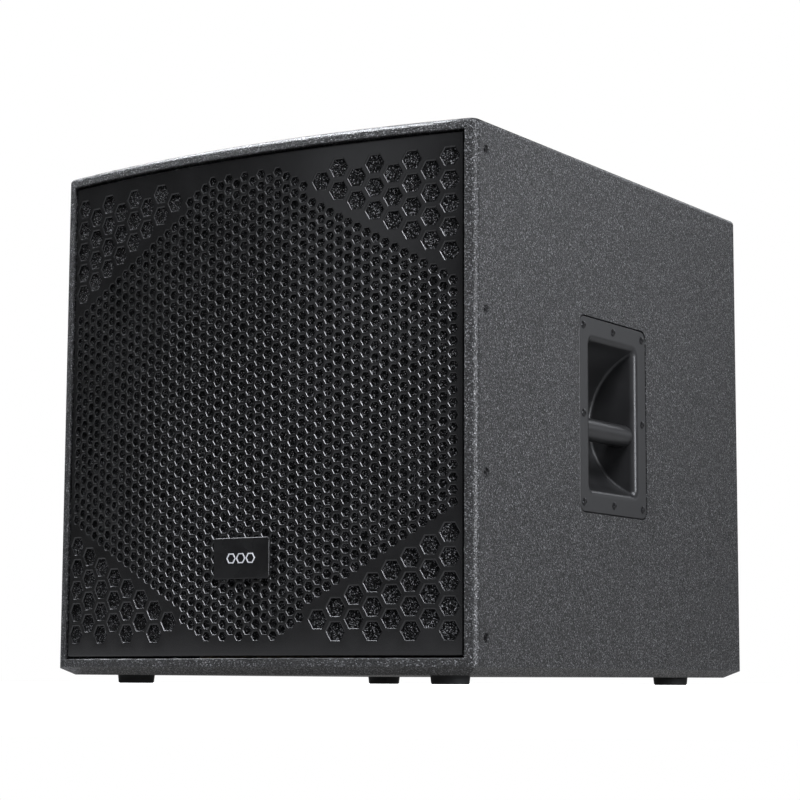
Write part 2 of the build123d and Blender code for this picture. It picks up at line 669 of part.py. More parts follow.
def input_dish_gasket():
    y = (Y_REAR - DISH_SINK - DISH_FLANGE[2] - DISH_GASKET, Y_REAR - DISH_SINK - DISH_FLANGE[2])
    gasket = slab_y((DISH_FLANGE[0] - 2, DISH_FLANGE[1] - 2), 7, 0, y, Z_DISH)
    gasket -= slab_y((DISH_POCKET[0] + 8, DISH_POCKET[1] + 8), 9, 0, (y[0] - 1, y[1] + 1), Z_DISH)
    for x, z in dish_screw_places():
        gasket -= rod_y(DISH_SCREW[2] + SHANK_GAP, x, (y[0] - 1, y[1] + 1), z)
    return gasket


def input_dish_screws():
    screw = domed_screw(*DISH_SCREW)
    face = Y_REAR - DISH_SINK
    return [Pos(x, face, z) * Rot(-90, 0, 0) * screw for x, z in dish_screw_places()]


def input_sockets():
    """Round locking sockets: a square flange, a deep ring for the plug and a centre core."""
    floor = Y_REAR - DISH_POCKET[2]
    face = floor + SOCKET_FLANGE[2]
    sockets = []
    for x in socket_places():
        body = slab_y(SOCKET_FLANGE[:2], 2, x, (floor, face), Z_DISH)
        body += rod_y(SOCKET_R, x, (face - SOCKET_LENGTH, face), Z_DISH)
        body -= rod_y(SOCKET_BORE_R, x, (face - SOCKET_LENGTH + 3, face + 1), Z_DISH)
        body += rod_y(SOCKET_CORE_R, x, (face - SOCKET_LENGTH + 1, face - 1), Z_DISH)
        sockets.append(body)
    holes = [rod_y(SOCKET_SCREW[2] + 0.2, x, (floor - 1, face + 1), z) for x, z in socket_screw_places()]
    return group([body - holes for body in sockets])


def socket_contacts():
    rear = Y_REAR - DISH_POCKET[2] + SOCKET_FLANGE[2] - SOCKET_LENGTH
    tabs = []
    for x in socket_places():
        for way in corner_ways():
            place = Pos(x + way[0] * CONTACT_REACH, rear - CONTACT[1] / 2, Z_DISH + way[1] * CONTACT_REACH)
            tabs.append(place * Box(*CONTACT))
    return group(tabs)


def socket_screws():
    screw = domed_screw(*SOCKET_SCREW)
    face = Y_REAR - DISH_POCKET[2] + SOCKET_FLANGE[2]
    return group([Pos(x, face, z) * Rot(-90, 0, 0) * screw for x, z in socket_screw_places()])


# Low-pass filter

def standoff_places():
    return [(x * STANDOFF_X, Y_BOARD + y * STANDOFF_Y) for x in (-1, 1) for y in (-1, 1)]


def filter_board():
    board = Pos(0, Y_BOARD, Z_BOARD + BOARD[2] / 2) * Box(*BOARD)
    for x, y in standoff_places():
        board -= rod_z(BOARD_SCREW[2] + 0.2, x, y, (Z_BOARD - 1, Z_BOARD + 3))
    return board


def board_standoffs():
    posts = []
    for x, y in standoff_places():
        post = rod_z(STANDOFF_R, x, y, (Z_BOARD - BOARD_UP, Z_BOARD))
        posts.append(post - rod_z(BOARD_SCREW[2] + 0.2, x, y, (Z_BASE, Z_BOARD + 1)))
    return group(posts)


def board_screws():
    screw = domed_screw(*BOARD_SCREW)
    return group([Pos(x, y, Z_BOARD + BOARD[2]) * screw for x, y in standoff_places()])


def filter_inductor():
    z = (Z_BOARD + BOARD[2], Z_BOARD + BOARD[2] + COIL[2])
    return rod_z(COIL[0], COIL_X, Y_BOARD, z) - rod_z(COIL[1], COIL_X, Y_BOARD, (z[0] - 1, z[1] + 1))


def filter_capacitors():
    z = Z_BOARD + BOARD[2] + CAPACITOR[0] + 0.2
    y = (Y_BOARD - CAPACITOR[1] / 2, Y_BOARD + CAPACITOR[1] / 2)
    return group([rod_y(CAPACITOR[0], x, y, z) for x in CAPACITOR_X])


# Internal cables

def cable(points, radius):
    """A round cable on straight runs joined by arcs as large as the runs allow."""
    corners = [Vector(*p) for p in points]
    bends = []
    for before, here, after in zip(corners, corners[1:], corners[2:]):
        turn = math.radians((here - before).get_angle(after - here))
        shorter = min((here - before).length, (after - here).length)
        bends.append(0.45 * shorter / math.tan(turn / 2))
    path = FilletPolyline(*points, radius=bends)
    start = Plane(origin=path @ 0, z_dir=path % 0)
    return sweep(start * Circle(radius), path=path)


def input_cable():
    rear = Y_REAR - DISH_POCKET[2] + SOCKET_FLANGE[2] - SOCKET_LENGTH - CONTACT[1] - 0.5
    end = Z_BOARD + 6
    points = [(SOCKET_X, rear, Z_DISH), (SOCKET_X, rear - 16, Z_DISH), (48, rear - 32, Z_DISH - 20)]
    points += [(66, rear - 36, Z_DISH - 48), (68, rear - 40, end + 14), (64, rear - 54, end)]
    points += [(64, rear - 68, end)]
    return cable(points, CABLE_R)


def driver_cable():
    start = Y_BOARD - 52
    end = Y_FLANGE + 110.4
    z_end = Z_DRIVER - 140
    points = [(50, start, Z_BOARD + 4), (50, start - 16, Z_BOARD + 12), (52, start - 32, Z_BOARD + 46)]
    points += [(54, start - 80, Z_BOARD + 60), (44, start - 145, Z_BOARD + 64)]
    points += [(26, start - 205, z_end - 16), (12, end + 36, z_end - 2), (8, end, z_end)]
    return cable(points, CABLE_R)


# Driver

def basket_solid():
    return turned([
        (206, 0), (FLANGE_R, 0), (FLANGE_R, FLANGE), (210, FLANGE), (208, 34), (122, 112), (80, 112),
        (80, 106), (98, 106), (98, 92), (132, 92), (196, 34), (196, 6), (206, 6),
    ])


def driver_basket():
    basket = basket_solid()
    window = Pos(180, 69, 0) * Box(110, 62, 70)
    for number in range(8):
        turn = Rot(0, 22.5 + 45 * number, 0)
        basket -= Pos(0, Y_FLANGE, Z_DRIVER) * turn * window
    for hole in bolt_holes(DRIVER_BOLT[2] + SHANK_GAP):
        basket -= hole
    for hole in around_driver(rod_y(MOTOR_BOLT[2] + 0.2, 0, (100, 113), 0), MOTOR_BOLTS, MOTOR_BOLT_R):
        basket -= hole
    return basket


def driver_gasket():
    z = (FLANGE, FLANGE + DRIVER_GASKET)
    gasket = turned([(213, z[0]), (FLANGE_R - 1, z[0]), (FLANGE_R - 1, z[1]), (213, z[1])])
    for hole in bolt_holes(DRIVER_BOLT[2] + SHANK_GAP):
        gasket -= hole
    return gasket


def driver_front_plate():
    near, far = FRONT_PLATE
    plate = turned([(GAP_R, near), (PLATE_R, near), (PLATE_R, far), (GAP_R, far)])
    thread = rod_y(MOTOR_BOLT[2] + THREAD_GAP, 0, (near - 1, far - 1), 0)
    for hole in around_driver(thread, MOTOR_BOLTS, MOTOR_BOLT_R):
        plate -= hole
    return plate


def driver_magnet():
    near, far = MAGNET
    return turned([(58, near), (MAGNET_R, near), (MAGNET_R, far), (58, far)])


def driver_pole_piece():
    top, step = FRONT_PLATE[0], MAGNET[1]
    return turned([
        (12, top), (POLE_R, top), (POLE_R, step), (PLATE_R, step), (PLATE_R, BACK_PLATE_END),
        (12, BACK_PLATE_END),
    ])


def motor_bolts():
    bolt = Rot(90, 0, 0) * cap_screw(*MOTOR_BOLT)
    return group(around_driver(Pos(0, 106, 0) * bolt, MOTOR_BOLTS, MOTOR_BOLT_R))


def corrugated_ring(inner, outer, level, rolls, rise, thickness, inner_lip, outer_lip):
    """A flexible ring of round rolls between two flat lips, which face the front."""
    step = (outer - inner) / rolls
    edges = []
    for depth, reverse in ((level, False), (level + thickness, True)):
        run = [Line((inner - inner_lip, depth), (inner, depth))]
        for roll in range(rolls):
            start = inner + step * roll
            lift = -rise if roll % 2 == 0 else rise
            middle = (start + step / 2, depth + lift)
            run.append(ThreePointArc((start, depth), middle, (start + step, depth)))
        run.append(Line((outer, depth), (outer + outer_lip, depth)))
        edges += run
    for r in (inner - inner_lip, outer + outer_lip):
        edges.append(Line((r, level), (r, level + thickness)))
    profile = make_face(Curve() + edges)
    return Pos(0, Y_FLANGE, Z_DRIVER) * revolve(profile, axis=Axis.Y)


def driver_surround():
    return corrugated_ring(180, 196, 5.0, 3, 2.6, 0.9, 8, 9.5)


def driver_spider():
    return corrugated_ring(54, 96, 91.2, 7, 2.4, 0.7, 2.6, 26)


def driver_cone():
    """The paper cone, a gently flared shell from the coil to the rim."""
    thick = PAPER
    mid_r = (CONE_R + CONE_NECK_R) / 2
    mid = (CONE_RIM + CONE_NECK) / 2
    front = ThreePointArc((CONE_R, CONE_RIM), (mid_r - 4, mid - 5), (CONE_NECK_R, CONE_NECK))
    back = ThreePointArc(
        (CONE_R, CONE_RIM + thick), (mid_r - 4, mid - 5 + thick * 1.2), (CONE_NECK_R, CONE_NECK + thick)
    )
    ends = [Line((CONE_R, CONE_RIM), (CONE_R, CONE_RIM + thick))]
    ends.append(Line((CONE_NECK_R, CONE_NECK), (CONE_NECK_R, CONE_NECK + thick)))
    profile = make_face(Curve() + [front, back] + ends)
    return Pos(0, Y_FLANGE, Z_DRIVER) * revolve(profile, axis=Axis.Y)


def dust_cap():
    """A shallow paper dome, part of a sphere, that closes the cone's middle."""
    radius = (CAP_R**2 + CAP_RISE**2) / (2 * CAP_RISE)
    shell = Sphere(radius) - Sphere(radius - CAP)
    shell = Pos(0, CAP_FOOT - CAP_RISE + radius, 0) * shell
    shell &= block((-CAP_R - 1, CAP_R + 1), (0, CAP_FOOT), (-CAP_R - 1, CAP_R + 1))
    return Pos(0, Y_FLANGE, Z_DRIVER) * shell


def voice_coil_former():
    return turned([(COIL_R, 80), (COIL_R + 0.5, 80), (COIL_R + 0.5, 134), (COIL_R, 134)])


def voice_coil_winding():
    inner = COIL_R + 0.55
    return turned([(inner, 104), (inner + 1, 104), (inner + 1, 132), (inner, 132)])


def driver_bolts():
    bolt = Rot(90, 0, 0) * cap_screw(*DRIVER_BOLT)
    return group(around_driver(bolt, BOLTS, BOLT_CIRCLE_R, BOLT_FIRST))


def driver_tee_nuts():
    back = FLANGE + DRIVER_GASKET + PLY
    nut = rod_y(TEE_NUT_R, 0, (back - 10, back), 0) + rod_y(9.0, 0, (back, back + 1.5), 0)
    nut -= rod_y(DRIVER_BOLT[2] + THREAD_GAP, 0, (back - 11, back + 3), 0)
    return group(around_driver(nut, BOLTS, BOLT_CIRCLE_R, BOLT_FIRST))


def driver_terminals():
    """A terminal block on the lowest arm of the basket."""
    body = block((-28, 28), (Y_FLANGE + 96, Y_FLANGE + 110), (Z_DRIVER - 150, Z_DRIVER - 124))
    cone = turned([(0, 30), (213, 30), (122.5, 113), (0, 113)])
    return body - cone


def tinsel_leads():
    leads = []
    for x in (-24, 24):
        points = [(x, 95.0, -140), (x, 88, -134), (x, 78, -118), (x, 68, -104), (x, 66, -96)]
        placed = [(p[0], Y_FLANGE + p[1], Z_DRIVER + p[2]) for p in points]
        leads.append(cable(placed, TINSEL_R))
    return group(leads)


def all_parts():
    """Every node's name and shape."""
    shell = envelope()
    right_panel = right_side_panel(shell)
    right_pan = right_handle_pan()
    right_bar = right_handle_bar()
    parts = {
        "top_panel": top_panel(shell),
        "bottom_panel": bottom_panel(shell),
        "left_side_panel": mirror(right_panel, about=Plane.YZ),
        "right_side_panel": right_panel,
        "rear_panel": rear_panel(shell),
        "front_baffle": front_baffle(),
        "port_boards": port_boards(),
        "window_brace": window_brace(),
        "rear_damping_lining": rear_damping_lining(),
        "side_damping_linings": side_damping_linings(),
        "grille": grille(),
        "grille_foam": grille_foam(),
        "grille_screws": grille_screws(),
        "grille_nuts": grille_nuts(),
        "badge_plate": badge_plate(),
        "badge_emblem": badge_emblem(),
        "left_handle_pan": mirror(right_pan, about=Plane.YZ),
        "right_handle_pan": right_pan,
        "left_handle_bar": mirror(right_bar, about=Plane.YZ),
        "right_handle_bar": right_bar,
        "handle_gaskets": both_sides([right_handle_gasket()]),
        "handle_screws": both_sides(right_handle_screws()),
        "handle_bar_bolts": both_sides(right_handle_bar_bolts()),
        "foot_washers": foot_washers(),
        "foot_screws": foot_screws(),
        "pole_cup": pole_cup(),
        "pole_cup_screws": pole_cup_screws(),
        "input_dish": input_dish(),
        "input_dish_gasket": input_dish_gasket(),
        "input_dish_screws": group(input_dish_screws()),
        "input_sockets": input_sockets(),
        "socket_contacts": socket_contacts(),
        "socket_screws": socket_screws(),
        "filter_board": filter_board(),
        "board_standoffs": board_standoffs(),
        "board_screws": board_screws(),
        "filter_inductor": filter_inductor(),
        "filter_capacitors": filter_capacitors(),
        "input_cable": input_cable(),
        "driver_cable": driver_cable(),
        "driver_basket": driver_basket(),
        "driver_gasket": driver_gasket(),
        "driver_front_plate": driver_front_plate(),
        "driver_magnet": driver_magnet(),
        "driver_pole_piece": driver_pole_piece(),
        "motor_bolts": motor_bolts(),
        "driver_surround": driver_surround(),
        "driver_spider": driver_spider(),
        "driver_cone": driver_cone(),
        "dust_cap": dust_cap(),
        "voice_coil_former": voice_coil_former(),
        "voice_coil_winding": voice_coil_winding(),
        "driver_bolts": driver_bolts(),
        "driver_tee_nuts": driver_tee_nuts(),
        "driver_terminals": driver_terminals(),
        "tinsel_leads": tinsel_leads(),
    }
    names = ("front_left_foot", "front_right_foot", "rear_left_foot", "rear_right_foot")
    for name, place in zip(names, foot_places()):
        parts[name] = foot(place)
    return parts


os.makedirs("parts", exist_ok=True)
for node, shape in all_parts().items():
    export_step(shape, f"parts/{node}.step")
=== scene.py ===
"""Looks of a bass-reflex subwoofer cabinet: textured box, bowed hexagon grille, foam and fittings."""

import json
import math
from collections import namedtuple

import bmesh
import bpy
import numpy as np
from mathutils import Matrix, Vector
from mathutils.geometry import delaunay_2d_cdt


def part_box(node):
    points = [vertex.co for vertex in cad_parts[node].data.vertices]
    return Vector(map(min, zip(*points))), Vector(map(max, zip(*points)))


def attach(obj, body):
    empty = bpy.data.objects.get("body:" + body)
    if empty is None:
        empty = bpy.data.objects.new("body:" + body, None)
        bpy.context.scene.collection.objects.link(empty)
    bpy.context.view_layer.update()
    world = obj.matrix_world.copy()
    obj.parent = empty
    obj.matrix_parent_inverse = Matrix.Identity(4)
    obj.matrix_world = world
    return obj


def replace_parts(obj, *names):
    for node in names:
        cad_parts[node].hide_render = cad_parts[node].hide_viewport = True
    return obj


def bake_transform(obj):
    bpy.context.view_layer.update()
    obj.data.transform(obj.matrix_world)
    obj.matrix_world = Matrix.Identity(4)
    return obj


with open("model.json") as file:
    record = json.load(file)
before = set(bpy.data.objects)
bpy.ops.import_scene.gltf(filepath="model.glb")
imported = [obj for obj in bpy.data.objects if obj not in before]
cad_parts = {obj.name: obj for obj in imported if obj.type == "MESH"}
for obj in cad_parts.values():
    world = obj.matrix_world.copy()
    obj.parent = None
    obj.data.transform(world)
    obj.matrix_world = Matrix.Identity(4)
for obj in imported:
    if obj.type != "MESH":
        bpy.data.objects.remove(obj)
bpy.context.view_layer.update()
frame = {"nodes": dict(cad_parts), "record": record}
nodes = frame["nodes"]

MM = 0.001

# The bowed front, from the frame's own boxes
HALF_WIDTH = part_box("right_side_panel")[1].x
FRONT_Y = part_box("top_panel")[0].y
GRILLE_LOW, GRILLE_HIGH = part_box("grille")
BOW = 29.0 * MM      # how far the middle of the front stands forward of its sides
BOW_R = (HALF_WIDTH**2 + BOW**2) / (2 * BOW)
ARC_Y = FRONT_Y + BOW_R      # the bow's centre, behind the front

# Grille: one sheet, set in from the front's bow and bent back round its rim
INSET = 2.5 * MM
SHEET = 1.8 * MM
SHEET_R = BOW_R - INSET
GRILLE_Z = (GRILLE_LOW.z + GRILLE_HIGH.z) / 2
BEND = 2.0 * MM      # radius of the bend, outside
BEND_STEPS = 10
SIDE_RETURN = 30 * MM      # straight run back after the bend
TOP_RETURN = 8 * MM
RIM_ACROSS, RIM_UP = 49, 45      # points along the rim's long and short edges
FACET = math.radians(12)      # keeps the facets of the rolled edges flat

# Holes: across flats at the face, and the radius of the rolled edge
SMALL_HOLE = (10.8 * MM, 1.1 * MM)
LARGE_HOLE = (21.0 * MM, 1.7 * MM)
ROLL_ANGLES = (30, 60, 90)      # how far round the rolled edge its rings of points lie, in degrees
COLUMN = math.sqrt(0.75)      # column pitch of a hexagon lattice over its row pitch

# The field of small holes: columns and rows each side of the middle, and how high a column reaches
SMALL_PITCH = 12.5 * MM
SMALL_COLUMNS, SMALL_ROWS = 23, 21
FIELD_TOP = 243.75 * MM
OUTER_REACH = 112.5 * MM      # of the outermost column
INNER_COLUMNS = 8      # columns nearer the middle than this reach one pitch higher
INNER_REACH = 125.0 * MM
HOLE_SLACK = 0.1 * MM

# The large holes: a triangle in each corner, its outermost column first
LARGE_PITCH = 24.4 * MM
LARGE_FIRST = 240.0 * MM
LARGE_ARC = 245.5 * MM
LARGE_COLUMNS = (5, 4, 4, 3, 3, 2, 2, 1)

# Foam behind the grille
FOAM_COLUMNS, FOAM_ROWS = 300, 310
FOAM_THICK = 6 * MM
FOAM_LEAST, FOAM_ROUGH = 0.1 * MM, 1.1 * MM      # how deep its face lies, at least and beyond that

# Flexible rings of the driver: radii where the rolls start and end, rolls, their height, the
# thickness, the two lips, and how many wedges the ring is cut into
Ring = namedtuple("Ring", "inner outer rolls rise thick inner_lip outer_lip wedges")
SURROUND = Ring(180 * MM, 196 * MM, 3, 2.6 * MM, 0.9 * MM, 8 * MM, 9.5 * MM, 24)
SPIDER = Ring(54 * MM, 96 * MM, 7, 2.4 * MM, 0.7 * MM, 2.6 * MM, 26 * MM, 12)
ROLL_STEPS = 8      # along each roll
WEDGE_STEPS = 4      # across each wedge

SOFT_CREASE = math.radians(35)      # a new piece is smooth below this angle
WELD = 1e-6      # points closer than this become one

# Camera, solved from the photograph's perspective, and light
CAMERA_TURN, CAMERA_TILT, CAMERA_ROLL = (math.radians(a) for a in (33.28, 7.21, 0.23))
CAMERA_LENS = 100.66
# Its distance from the box's middle, from the plane of its front corners and from the floor
CAMERA_RIGHT, CAMERA_FORWARD, CAMERA_UP = 1.4227, 1.8896, 0.0012
LIGHT_TINT = (0.965, 0.99, 1.045)      # a little cool
WHITE = (1, 1, 1, 1)
FLOOR_HALF = 12.0


# Node materials

class Nodes:
    """A material under construction, with short calls for the nodes that it is made of."""

    def __init__(self, name):
        self.material = bpy.data.materials.new(name)
        self.material.use_nodes = True
        self.tree = self.material.node_tree
        self.shader = self.tree.nodes["Principled BSDF"]
        self.place = self.tree.nodes.new("ShaderNodeTexCoord").outputs["Object"]

    def add(self, kind, **settings):
        node = self.tree.nodes.new(kind)
        for key, value in settings.items():
            setattr(node, key, value)
        return node

    def link(self, source, target):
        self.tree.links.new(source, target)

    def noise(self, grain, detail, roughness, stretch=None):
        """Noise whose features are about grain metres across."""
        node = self.add("ShaderNodeTexNoise")
        node.inputs["Scale"].default_value = 1.0 / grain
        node.inputs["Detail"].default_value = detail
        node.inputs["Roughness"].default_value = roughness
        place = self.place
        if stretch:
            mapping = self.add("ShaderNodeMapping")
            mapping.inputs["Scale"].default_value = stretch
            self.link(self.place, mapping.inputs["Vector"])
            place = mapping.outputs["Vector"]
        self.link(place, node.inputs["Vector"])
        return node.outputs["Fac"]

    def cells(self, grain):
        """Distance from the middle of cells about grain metres across."""
        node = self.add("ShaderNodeTexVoronoi")
        node.inputs["Scale"].default_value = 1.0 / grain
        self.link(self.place, node.inputs["Vector"])
        return node.outputs["Distance"]

    def ramp(self, source, stops):
        node = self.add("ShaderNodeValToRGB")
        element = node.color_ramp.elements
        while len(element) < len(stops):
            element.new(0.5)
        for one, (at, colour) in zip(element, stops):
            one.position = at
            one.color = (*colour, 1.0)
        self.link(source, node.inputs["Fac"])
        return node.outputs["Color"]

    def between(self, source, low, high, at_low=0.3, at_high=0.7):
        """source, spread over a new range of values."""
        node = self.add("ShaderNodeMapRange")
        ends = (("From Min", at_low), ("From Max", at_high), ("To Min", low), ("To Max", high))
        for key, value in ends:
            node.inputs[key].default_value = value
        self.link(source, node.inputs["Value"])
        return node.outputs["Result"]

    def math(self, operation, a, b):
        node = self.add("ShaderNodeMath", operation=operation)
        for socket, value in zip(node.inputs, (a, b)):
            if isinstance(value, (int, float)):
                socket.default_value = value
            else:
                self.link(value, socket)
        return node.outputs["Value"]

    def mix(self, amount, a, b):
        node = self.add("ShaderNodeMix", data_type="RGBA")
        for socket, value in ((node.inputs[0], amount), (node.inputs[6], a), (node.inputs[7], b)):
            if isinstance(value, (int, float)):
                socket.default_value = value
            elif isinstance(value, tuple):
                socket.default_value = (*value, 1.0)
            else:
                self.link(value, socket)
        return node.outputs[2]

    def specks(self, grain):
        """A random value from 0 to 1 in each cell of about grain metres."""
        node = self.add("ShaderNodeTexVoronoi")
        node.inputs["Scale"].default_value = 1.0 / grain
        self.link(self.place, node.inputs["Vector"])
        split = self.add("ShaderNodeSeparateColor")
        self.link(node.outputs["Color"], split.inputs["Color"])
        return split.outputs["Red"]

    def edges(self, width):
        """1 within a width of a sharp edge, 0 elsewhere."""
        bevel = self.add("ShaderNodeBevel", samples=4)
        bevel.inputs["Radius"].default_value = width
        geometry = self.add("ShaderNodeNewGeometry")
        dot = self.add("ShaderNodeVectorMath", operation="DOT_PRODUCT")
        self.link(bevel.outputs["Normal"], dot.inputs[0])
        self.link(geometry.outputs["Normal"], dot.inputs[1])
        return self.between(dot.outputs["Value"], 1.0, 0.0, 0.80, 0.99)

    def bump(self, height, distance, strength, below=None):
        node = self.add("ShaderNodeBump")
        node.inputs["Distance"].default_value = distance
        node.inputs["Strength"].default_value = strength
        self.link(height, node.inputs["Height"])
        if below is not None:
            self.link(below, node.inputs["Normal"])
        return node.outputs["Normal"]

    def finish(self, colour, roughness, normal=None, constants=()):
        self.link(colour, self.shader.inputs["Base Color"])
        if isinstance(roughness, float):
            self.shader.inputs["Roughness"].default_value = roughness
        else:
            self.link(roughness, self.shader.inputs["Roughness"])
        if normal is not None:
            self.link(normal, self.shader.inputs["Normal"])
        for key, value in constants:
            self.shader.inputs[key].default_value = value
        return self.material


def grey(value):
    """A grey that is slightly cool."""
    return (value, value, value * 1.03)


def coating():
    """Sprayed black coating: a dense crust of rounded grains on the panels, their highlights and shade
    painted as pale and near-black specks.
    """
    m = Nodes("textured_coating")
    grains = m.cells(1.4 * MM)
    lumps = m.noise(1.6 * MM, 2.0, 0.6)
    shade = m.specks(1.15 * MM)
    cloud = m.noise(60 * MM, 3.0, 0.5)
    # painted highlights and shade of the grains: random specks from near black to pale grey
    stops = [(0.35, grey(0.0005)), (0.6, grey(0.009)), (0.85, grey(0.060)), (1.0, grey(0.30))]
    colour = m.mix(m.between(cloud, 0.0, 0.2), m.ramp(shade, stops), grey(0.02))
    height = m.math("SUBTRACT", lumps, m.math("MULTIPLY", grains, 0.7))
    normal = m.bump(height, 1.4 * MM, 1.0)
    m.link(m.bump(height, 0.25 * MM, 1.0), m.shader.inputs["Coat Normal"])
    constants = (("Specular IOR Level", 0.45), ("Coat Weight", 0.6), ("Coat Roughness", 0.25))
    return m.finish(colour, m.between(shade, 0.55, 0.36), normal, constants)


def powder_coat():
    """Satin black powder coat on steel, with a very fine orange peel."""
    m = Nodes("grille_steel")
    peel = m.noise(0.9 * MM, 2.0, 0.5)
    cloud = m.noise(45 * MM, 3.0, 0.55)
    dust = m.noise(2.5 * MM, 4.0, 0.7)
    colour = m.ramp(cloud, [(0.3, grey(0.008)), (0.7, grey(0.012))])
    dusty = m.mix(m.between(dust, 0.0, 0.25, 0.55, 0.75), colour, grey(0.03))
    normal = m.bump(peel, 0.04 * MM, 0.5)
    return m.finish(dusty, m.between(cloud, 0.2, 0.26), normal, (("Specular IOR Level", 0.75),))


def open_foam():
    """Open-cell foam: dark pores, with the glints of its small ribs painted as a few bright specks."""
    m = Nodes("acoustic_foam")
    shade = m.specks(0.75 * MM)
    pores = m.cells(1.0 * MM)
    # painted glints: a few cells near white on black foam, standing for light on its ribs
    stops = [(0.45, grey(0.0005)), (0.7, grey(0.010)), (0.9, grey(0.075)), (1.0, grey(0.55))]
    colour = m.ramp(shade, stops)
    normal = m.bump(pores, 1.2 * MM, 1.0)
    return m.finish(colour, m.between(pores, 0.4, 0.65), normal, (("Specular IOR Level", 0.05),))


def moulded(name, shade, grain, depth, rough_low, rough_high):
    """Moulded plastic with a fine grain, paler along its edges: rubbed wear and a painted edge highlight.
    """
    m = Nodes(name)
    texture = m.noise(grain, 2.0, 0.55)
    cloud = m.noise(30 * MM, 2.0, 0.5)
    colour = m.ramp(cloud, [(0.3, grey(shade * 0.8)), (0.7, grey(shade * 1.2))])
    # paler edges: partly rubbed wear, partly a painted highlight along every edge
    worn_and_highlit = m.mix(m.math("MULTIPLY", m.edges(0.8 * MM), 0.35), colour, grey(shade * 2.5 + 0.02))
    normal = m.bump(texture, depth, 0.6)
    return m.finish(worn_and_highlit, m.between(cloud, rough_low, rough_high), normal)


def rubber(name, shade=0.018):
    """Matt rubber or vinyl, dusty in patches."""
    m = Nodes(name)
    dust = m.noise(7 * MM, 4.0, 0.6)
    grain = m.noise(0.7 * MM, 2.0, 0.6)
    colour = m.ramp(dust, [(0.35, grey(shade)), (0.75, grey(shade * 2.2))])
    return m.finish(colour, m.between(dust, 0.55, 0.75), m.bump(grain, 0.08 * MM, 0.6))


def metal(name, colour, rough):
    """Bare or plated metal with drawn scratches and a slight tarnish."""
    m = Nodes(name)
    lines = m.noise(0.6 * MM, 3.0, 0.6, (1.0, 1.0, 12.0))
    cloud = m.noise(5 * MM, 3.0, 0.6)
    dull = tuple(c * 0.75 for c in colour)
    tone = m.ramp(cloud, [(0.3, dull), (0.7, colour)])
    roughness = m.between(lines, rough * 0.8, rough * 1.3)
    return m.finish(tone, roughness, m.bump(lines, 0.03 * MM, 0.5), (("Metallic", 1.0),))


def painted_screw(name, shade, rough):
    """Blackened steel screw: dark and shiny, bright along its edges as rubbed wear and a painted rim
    highlight.
    """
    m = Nodes(name)
    cloud = m.noise(1.6 * MM, 3.0, 0.6)
    colour = m.ramp(cloud, [(0.3, grey(shade * 0.7)), (0.7, grey(shade * 1.3))])
    # bright edges: partly rubbed wear, partly a painted rim highlight
    worn_and_highlit = m.mix(m.math("MULTIPLY", m.edges(0.4 * MM), 0.4), colour, grey(0.35))
    roughness = m.between(cloud, rough * 0.7, rough * 1.4)
    return m.finish(worn_and_highlit, roughness, m.bump(cloud, 0.02 * MM, 0.5), (("Metallic", 0.8),))


def felt():
    """Pale wadding, lumpy and fibrous."""
    m = Nodes("wadding")
    fibre = m.noise(1.2 * MM, 5.0, 0.75, (1.0, 3.0, 1.0))
    lumps = m.noise(18 * MM, 3.0, 0.6)
    colour = m.ramp(fibre, [(0.3, (0.42, 0.42, 0.40)), (0.7, (0.72, 0.71, 0.68))])
    normal = m.bump(fibre, 0.8 * MM, 0.8, m.bump(lumps, 5 * MM, 0.6))
    return m.finish(colour, 0.9, normal)


def plywood():
    """Birch ply, its grain along Z."""
    m = Nodes("raw_plywood")
    grain = m.noise(6 * MM, 5.0, 0.6, (1.0, 1.0, 0.08))
    pores = m.noise(0.7 * MM, 2.0, 0.6, (1.0, 1.0, 0.1))
    stops = [(0.3, (0.42, 0.28, 0.15)), (0.55, (0.60, 0.43, 0.26)), (0.75, (0.68, 0.52, 0.34))]
    wood = m.ramp(grain, stops)
    return m.finish(wood, m.between(pores, 0.5, 0.75), m.bump(pores, 0.1 * MM, 0.5))


def paper():
    """Pressed black paper pulp."""
    m = Nodes("cone_paper")
    fibre = m.noise(1.4 * MM, 5.0, 0.7)
    rings = m.noise(9 * MM, 2.0, 0.5)
    colour = m.ramp(fibre, [(0.3, grey(0.018)), (0.7, grey(0.05))])
    normal = m.bump(fibre, 0.25 * MM, 0.7, m.bump(rings, 0.8 * MM, 0.3))
    return m.finish(colour, 0.72, normal)


def woven(name, colour, dark):
    """Doped cloth, two crossed sets of threads."""
    m = Nodes(name)
    warp = m.noise(0.8 * MM, 1.0, 0.5, (6.0, 1.0, 1.0))
    weft = m.noise(0.8 * MM, 1.0, 0.5, (1.0, 1.0, 6.0))
    weave = m.math("ADD", warp, weft)
    tone = m.ramp(warp, [(0.35, dark), (0.65, colour)])
    return m.finish(tone, m.between(weft, 0.5, 0.7), m.bump(weave, 0.2 * MM, 0.8))


def laminate():
    """Green circuit board with paler tracks."""
    m = Nodes("board")
    weave = m.noise(0.7 * MM, 1.0, 0.5, (1.0, 5.0, 1.0))
    layout = m.noise(9 * MM, 1.0, 0.4, (1.0, 4.0, 1.0))
    tracks = m.ramp(layout, [(0.5, (0.02, 0.10, 0.035)), (0.54, (0.05, 0.17, 0.06))])
    return m.finish(tracks, m.between(weave, 0.25, 0.4), m.bump(weave, 0.04 * MM, 0.5))


def winding(name, colour):
    """Close turns of enamelled wire."""
    m = Nodes(name)
    turns = m.noise(1.0 * MM, 1.0, 0.5, (0.15, 0.15, 1.0))
    tone = m.ramp(turns, [(0.35, tuple(c * 0.5 for c in colour)), (0.6, colour)])
    return m.finish(tone, m.between(turns, 0.25, 0.4), m.bump(turns, 0.3 * MM, 0.8), (("Metallic", 0.8),))


# Meshes

def close_up(mesh):
    """Welds points that coincide and turns every face outward."""
    shape = bmesh.new()
    shape.from_mesh(mesh)
    bmesh.ops.remove_doubles(shape, verts=shape.verts, dist=WELD)
    bmesh.ops.recalc_face_normals(shape, faces=shape.faces)
    shape.to_mesh(mesh)
    shape.free()


